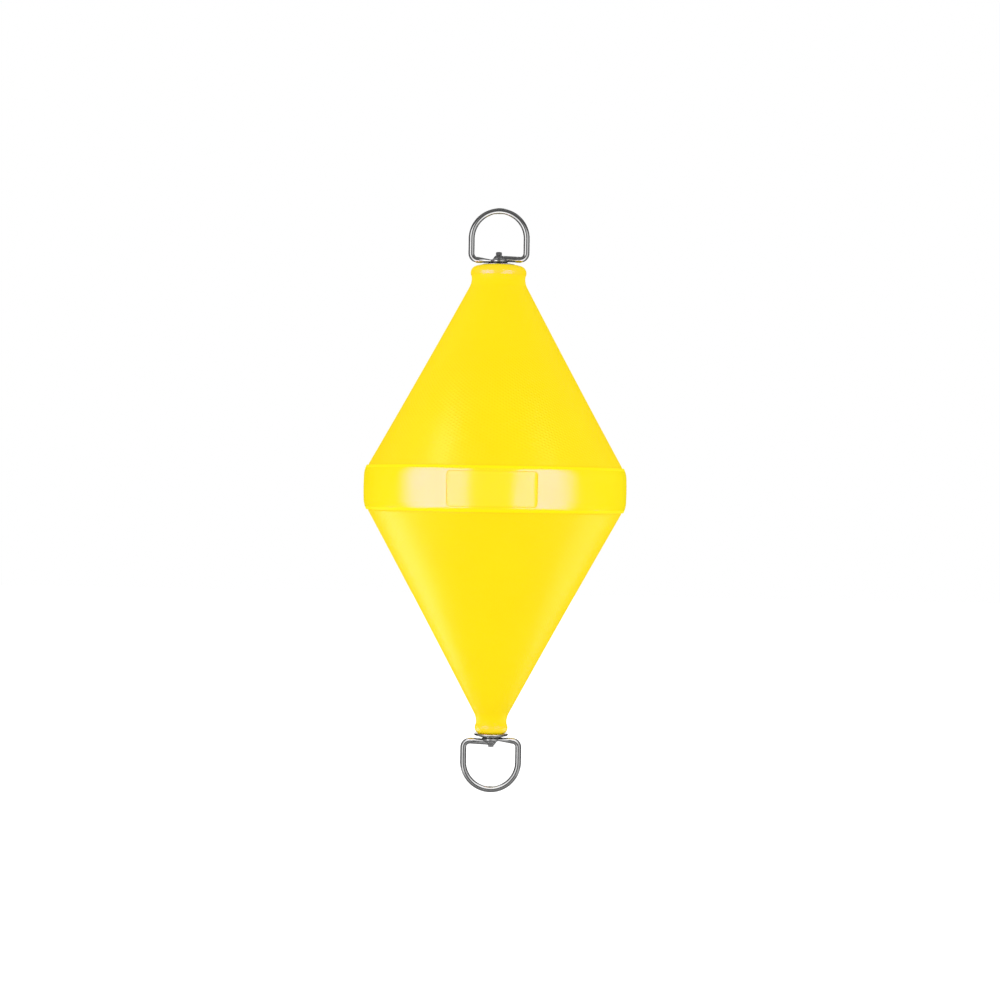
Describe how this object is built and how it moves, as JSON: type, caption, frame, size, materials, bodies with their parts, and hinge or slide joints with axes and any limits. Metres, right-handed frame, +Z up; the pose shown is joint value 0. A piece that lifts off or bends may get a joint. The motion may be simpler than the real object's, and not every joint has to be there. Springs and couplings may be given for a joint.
{
  "type": "biconical mooring buoy",
  "caption": "Hollow yellow biconical mooring buoy with a smooth belt, a steel rod through it and a swivelling bent-wire ring at each end.",
  "frame": {"origin": "on the buoy's axis at the middle of the belt, the line to which it sits in the water under its mooring", "axes": "+Z up along the axis towards the top ring, -Y out of the middle of the front panel, both rings lie in the XZ plane"},
  "size_m": [0.32, 0.3192, 0.712],
  "materials": {
    "yellow_plastic": "moulded polyethylene, glossy belt and collars, finely grained cones",
    "rod_steel": "plain bright steel",
    "washer_steel": "bright pressed steel",
    "ring_steel": "bright bent wire"
  },
  "bodies": {
    "buoy": {"buoy_body": "yellow_plastic", "through_rod": "rod_steel", "top_washer": "washer_steel", "bottom_washer": "washer_steel"},
    "upper_ring": {"top_ring": "ring_steel"},
    "lower_ring": {"bottom_ring": "ring_steel"}
  },
  "joints": [
    {"name": "top_ring_swivel", "type": "hinge", "parent": "buoy", "child": "upper_ring", "pos_m": [0, 0, 0.2815], "axis": [0, 0, 1], "continuous": true},
    {"name": "bottom_ring_swivel", "type": "hinge", "parent": "buoy", "child": "lower_ring", "pos_m": [0, 0, -0.3095], "axis": [0, 0, -1], "continuous": true}
  ]
}
